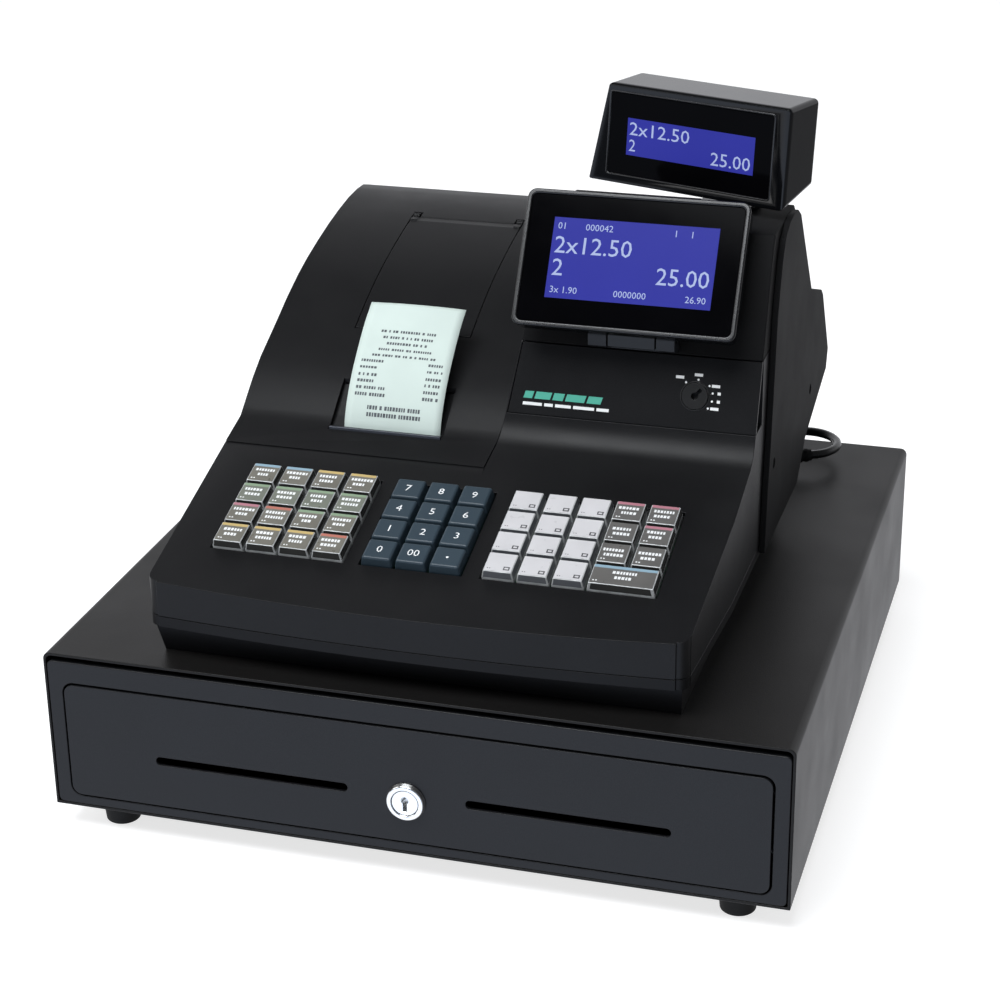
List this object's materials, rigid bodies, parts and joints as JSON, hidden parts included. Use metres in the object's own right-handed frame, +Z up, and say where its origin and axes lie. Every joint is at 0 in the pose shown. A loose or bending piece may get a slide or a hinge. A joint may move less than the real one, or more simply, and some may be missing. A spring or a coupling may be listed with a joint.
{
  "type": "electronic cash register",
  "caption": "Electronic cash register on a steel cash drawer: sloped keyboard, receipt printer, tilting operator display, swivelling customer display, sliding drawer with till.",
  "frame": {"origin": "middle of the bounding box without the cord, on the floor under the rubber feet", "axes": "+X to the operator's right, +Y away from the operator, +Z up"},
  "size_m": [0.41, 0.5245, 0.3706],
  "materials": {
    "case_paint": "fine black texture",
    "front_paint": "fine black texture",
    "steel": "zinc plated",
    "rubber": "matt",
    "till_plastic": "matt",
    "clip_plastic": "satin",
    "chrome": "polished",
    "cover_plastic": "fine texture",
    "pan_plastic": "fine texture",
    "switch_grey": "satin",
    "paper": "paper",
    "mechanism": "satin",
    "board_green": "solder mask",
    "bracket_grey": "satin",
    "bezel_dark": "satin black",
    "screen_glass": "black",
    "display_plastic": "satin black",
    "cord_plastic": "glossy",
    "number_blue": "satin",
    "key_clear_olive": "clear cap over legend",
    "key_white": "clear cap over white",
    "key_taupe": "clear cap over legend"
  },
  "bodies": {
    "register": {"drawer_case": "case_paint", "drawer_front_frame": "case_paint", "drawer_feet": "rubber", "outer_slides": "steel", "latch_unit": "steel", "base_pan": "pan_plastic", "upper_case": "cover_plastic", "tower_cover": "cover_plastic", "side_cover": "cover_plastic", "switch_panel": "cover_plastic", "printer_cover": "cover_plastic", "receipt_paper": "paper", "printer_mechanism": "mechanism", "keyboard_board": "board_green", "display_bracket": "bracket_grey", "customer_display_neck": "display_plastic", "strain_relief": "rubber", "mains_cord": "cord_plastic", "cord_coil": "cord_plastic", "cord_tie": "rubber", "mains_plug": "cord_plastic"},
    "drawer": {"drawer_front": "front_paint", "drawer_box": "steel", "till_tray": "till_plastic", "lock_bezel": "chrome"},
    "cash_lock": {"lock_plug": "chrome"},
    "mode_switch": {"key_switch": "switch_grey"},
    "paper_cover": {"paper_door": "cover_plastic"},
    "paper_supply": {"paper_roll": "paper"},
    "operator_display": {"operator_display_housing": "display_plastic", "operator_display_bezel": "bezel_dark", "operator_display_glass": "screen_glass"},
    "customer_display": {"customer_display_housing": "display_plastic", "customer_display_glass": "screen_glass"},
    "clip_1": {"bill_clip_1": "clip_plastic"},
    "clip_2": {"bill_clip_2": "clip_plastic"},
    "clip_3": {"bill_clip_3": "clip_plastic"},
    "clip_4": {"bill_clip_4": "clip_plastic"},
    "number_key_7_body": {"number_key_7": "number_blue"},
    "number_key_8_body": {"number_key_8": "number_blue"},
    "number_key_9_body": {"number_key_9": "number_blue"},
    "number_key_4_body": {"number_key_4": "number_blue"},
    "number_key_5_body": {"number_key_5": "number_blue"},
    "number_key_6_body": {"number_key_6": "number_blue"},
    "number_key_1_body": {"number_key_1": "number_blue"},
    "number_key_2_body": {"number_key_2": "number_blue"},
    "number_key_3_body": {"number_key_3": "number_blue"},
    "number_key_0_body": {"number_key_0": "number_blue"},
    "number_key_00_body": {"number_key_00": "number_blue"},
    "number_key_point_body": {"number_key_point": "number_blue"},
    "left_keys_row_1_body": {"left_keys_row_1": "key_clear_olive"},
    "left_keys_row_2_body": {"left_keys_row_2": "key_clear_olive"},
    "left_keys_row_3_body": {"left_keys_row_3": "key_clear_olive"},
    "left_keys_row_4_body": {"left_keys_row_4": "key_clear_olive"},
    "white_keys_column_1_body": {"white_keys_column_1": "key_white"},
    "white_keys_column_2_body": {"white_keys_column_2": "key_white"},
    "white_keys_column_3_body": {"white_keys_column_3": "key_white"},
    "function_keys_column_1_body": {"function_keys_column_1": "key_taupe"},
    "function_keys_column_2_body": {"function_keys_column_2": "key_taupe"},
    "tender_key_body": {"tender_key": "key_taupe"}
  },
  "joints": [
    {"name": "drawer_slide", "type": "slide", "parent": "register", "child": "drawer", "axis": [0, -1, 0], "range_m": [0, 0.33]},
    {"name": "cash_lock_turn", "type": "hinge", "parent": "drawer", "child": "cash_lock", "pos_m": [0, -0.20125, 0.048], "axis": [0, -1, 0], "range_deg": [-90, 0]},
    {"name": "bill_clip_1_lift", "type": "hinge", "parent": "drawer", "child": "clip_1", "pos_m": [0, 0.16975, 0.083], "axis": [-1, 0, 0], "range_deg": [0, 18], "stiffness_Nm_per_rad": 0.05, "springref_deg": -22.92},
    {"name": "bill_clip_2_lift", "type": "hinge", "parent": "drawer", "child": "clip_2", "pos_m": [0, 0.16975, 0.083], "axis": [-1, 0, 0], "range_deg": [0, 18], "stiffness_Nm_per_rad": 0.05, "springref_deg": -22.92},
    {"name": "bill_clip_3_lift", "type": "hinge", "parent": "drawer", "child": "clip_3", "pos_m": [0, 0.16975, 0.083], "axis": [-1, 0, 0], "range_deg": [0, 18], "stiffness_Nm_per_rad": 0.05, "springref_deg": -22.92},
    {"name": "bill_clip_4_lift", "type": "hinge", "parent": "drawer", "child": "clip_4", "pos_m": [0, 0.16975, 0.083], "axis": [-1, 0, 0], "range_deg": [0, 18], "stiffness_Nm_per_rad": 0.05, "springref_deg": -22.92},
    {"name": "mode_switch_turn", "type": "hinge", "parent": "register", "child": "mode_switch", "pos_m": [0.1151, -0.03288, 0.2244], "axis": [0, -0.9351, 0.3545], "range_deg": [-79, 95]},
    {"name": "paper_cover_hinge", "type": "hinge", "parent": "register", "child": "paper_cover", "pos_m": [-0.0625, 0.12675, 0.2639], "axis": [-1, 0, 0], "range_deg": [0, 95]},
    {"name": "paper_supply_spin", "type": "hinge", "parent": "register", "child": "paper_supply", "pos_m": [-0.0605, 0.06975, 0.209], "axis": [1, 0, 0], "continuous": true},
    {"name": "operator_display_tilt", "type": "hinge", "parent": "register", "child": "operator_display", "pos_m": [0.078, -0.03185, 0.2555], "axis": [1, 0, 0], "range_deg": [-3, 30]},
    {"name": "customer_display_swivel", "type": "hinge", "parent": "register", "child": "customer_display", "pos_m": [0.1163, 0.04955, 0.315], "axis": [0, 0, 1], "range_deg": [-162, 30]},
    {"name": "number_key_7_press", "type": "slide", "parent": "register", "child": "number_key_7_body", "axis": [0, 0.2773, -0.9608], "range_m": [0, 0.0035], "stiffness_N_per_m": 200, "springref_m": -0.002},
    {"name": "number_key_8_press", "type": "slide", "parent": "register", "child": "number_key_8_body", "axis": [0, 0.2773, -0.9608], "range_m": [0, 0.0035], "stiffness_N_per_m": 200, "springref_m": -0.002},
    {"name": "number_key_9_press", "type": "slide", "parent": "register", "child": "number_key_9_body", "axis": [0, 0.2773, -0.9608], "range_m": [0, 0.0035], "stiffness_N_per_m": 200, "springref_m": -0.002},
    {"name": "number_key_4_press", "type": "slide", "parent": "register", "child": "number_key_4_body", "axis": [0, 0.2773, -0.9608], "range_m": [0, 0.0035], "stiffness_N_per_m": 200, "springref_m": -0.002},
    {"name": "number_key_5_press", "type": "slide", "parent": "register", "child": "number_key_5_body", "axis": [0, 0.2773, -0.9608], "range_m": [0, 0.0035], "stiffness_N_per_m": 200, "springref_m": -0.002},
    {"name": "number_key_6_press", "type": "slide", "parent": "register", "child": "number_key_6_body", "axis": [0, 0.2773, -0.9608], "range_m": [0, 0.0035], "stiffness_N_per_m": 200, "springref_m": -0.002},
    {"name": "number_key_1_press", "type": "slide", "parent": "register", "child": "number_key_1_body", "axis": [0, 0.2773, -0.9608], "range_m": [0, 0.0035], "stiffness_N_per_m": 200, "springref_m": -0.002},
    {"name": "number_key_2_press", "type": "slide", "parent": "register", "child": "number_key_2_body", "axis": [0, 0.2773, -0.9608], "range_m": [0, 0.0035], "stiffness_N_per_m": 200, "springref_m": -0.002},
    {"name": "number_key_3_press", "type": "slide", "parent": "register", "child": "number_key_3_body", "axis": [0, 0.2773, -0.9608], "range_m": [0, 0.0035], "stiffness_N_per_m": 200, "springref_m": -0.002},
    {"name": "number_key_0_press", "type": "slide", "parent": "register", "child": "number_key_0_body", "axis": [0, 0.2773, -0.9608], "range_m": [0, 0.0035], "stiffness_N_per_m": 200, "springref_m": -0.002},
    {"name": "number_key_00_press", "type": "slide", "parent": "register", "child": "number_key_00_body", "axis": [0, 0.2773, -0.9608], "range_m": [0, 0.0035], "stiffness_N_per_m": 200, "springref_m": -0.002},
    {"name": "number_key_point_press", "type": "slide", "parent": "register", "child": "number_key_point_body", "axis": [0, 0.2773, -0.9608], "range_m": [0, 0.0035], "stiffness_N_per_m": 200, "springref_m": -0.002},
    {"name": "left_keys_row_1_press", "type": "slide", "parent": "register", "child": "left_keys_row_1_body", "axis": [0, 0.2773, -0.9608], "range_m": [0, 0.0035], "stiffness_N_per_m": 800, "springref_m": -0.002},
    {"name": "left_keys_row_2_press", "type": "slide", "parent": "register", "child": "left_keys_row_2_body", "axis": [0, 0.2773, -0.9608], "range_m": [0, 0.0035], "stiffness_N_per_m": 800, "springref_m": -0.002},
    {"name": "left_keys_row_3_press", "type": "slide", "parent": "register", "child": "left_keys_row_3_body", "axis": [0, 0.2773, -0.9608], "range_m": [0, 0.0035], "stiffness_N_per_m": 800, "springref_m": -0.002},
    {"name": "left_keys_row_4_press", "type": "slide", "parent": "register", "child": "left_keys_row_4_body", "axis": [0, 0.2773, -0.9608], "range_m": [0, 0.0035], "stiffness_N_per_m": 800, "springref_m": -0.002},
    {"name": "white_keys_column_1_press", "type": "slide", "parent": "register", "child": "white_keys_column_1_body", "axis": [0, 0.2773, -0.9608], "range_m": [0, 0.0035], "stiffness_N_per_m": 800, "springref_m": -0.002},
    {"name": "white_keys_column_2_press", "type": "slide", "parent": "register", "child": "white_keys_column_2_body", "axis": [0, 0.2773, -0.9608], "range_m": [0, 0.0035], "stiffness_N_per_m": 800, "springref_m": -0.002},
    {"name": "white_keys_column_3_press", "type": "slide", "parent": "register", "child": "white_keys_column_3_body", "axis": [0, 0.2773, -0.9608], "range_m": [0, 0.0035], "stiffness_N_per_m": 800, "springref_m": -0.002},
    {"name": "function_keys_column_1_press", "type": "slide", "parent": "register", "child": "function_keys_column_1_body", "axis": [0, 0.2773, -0.9608], "range_m": [0, 0.0035], "stiffness_N_per_m": 600, "springref_m": -0.002},
    {"name": "function_keys_column_2_press", "type": "slide", "parent": "register", "child": "function_keys_column_2_body", "axis": [0, 0.2773, -0.9608], "range_m": [0, 0.0035], "stiffness_N_per_m": 600, "springref_m": -0.002},
    {"name": "tender_key_press", "type": "slide", "parent": "register", "child": "tender_key_body", "axis": [0, 0.2773, -0.9608], "range_m": [0, 0.0035], "stiffness_N_per_m": 200, "springref_m": -0.002}
  ]
}
